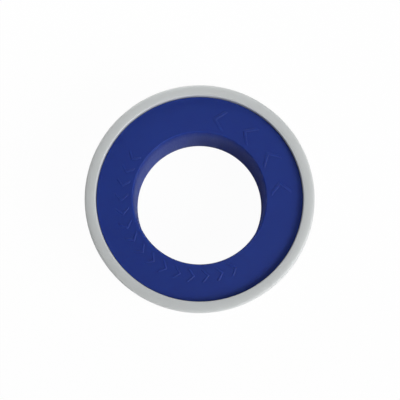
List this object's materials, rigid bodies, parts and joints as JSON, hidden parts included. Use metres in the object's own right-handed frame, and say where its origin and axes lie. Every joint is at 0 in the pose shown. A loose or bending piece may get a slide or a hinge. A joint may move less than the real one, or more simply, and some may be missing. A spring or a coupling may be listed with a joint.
{
  "type": "thread seal tape roll",
  "caption": "Roll of white thread seal tape on a blue plastic spool with a wide flange, which turns in and pulls out of a round white cup-shaped cover with a rounded rim.",
  "frame": {"origin": "centre of the cover's back face, on the roll's axis, where the roll lies on a surface", "axes": "+Z along the roll's axis, from the cover's back towards the spool's flange; +X and +Y across the roll"},
  "size_m": [0.0504, 0.0504, 0.0166],
  "materials": {
    "white_polypropylene": "satin",
    "blue_polypropylene": "satin",
    "ptfe_tape": "matte"
  },
  "bodies": {
    "outer_cover": {"outer_cover": "white_polypropylene"},
    "tape_end": {"tape_end": "ptfe_tape"},
    "spool": {"spool": "blue_polypropylene", "tape_winding": "ptfe_tape"}
  },
  "joints": [
    {"name": "spool_pull", "type": "slide", "parent": "outer_cover", "child": "tape_end", "axis": [0, 0, 1], "range_m": [0, 0.02]},
    {"name": "spool_turn", "type": "hinge", "parent": "tape_end", "child": "spool", "pos_m": [0, 0, 0.0078], "axis": [0, 0, 1], "continuous": true}
  ]
}
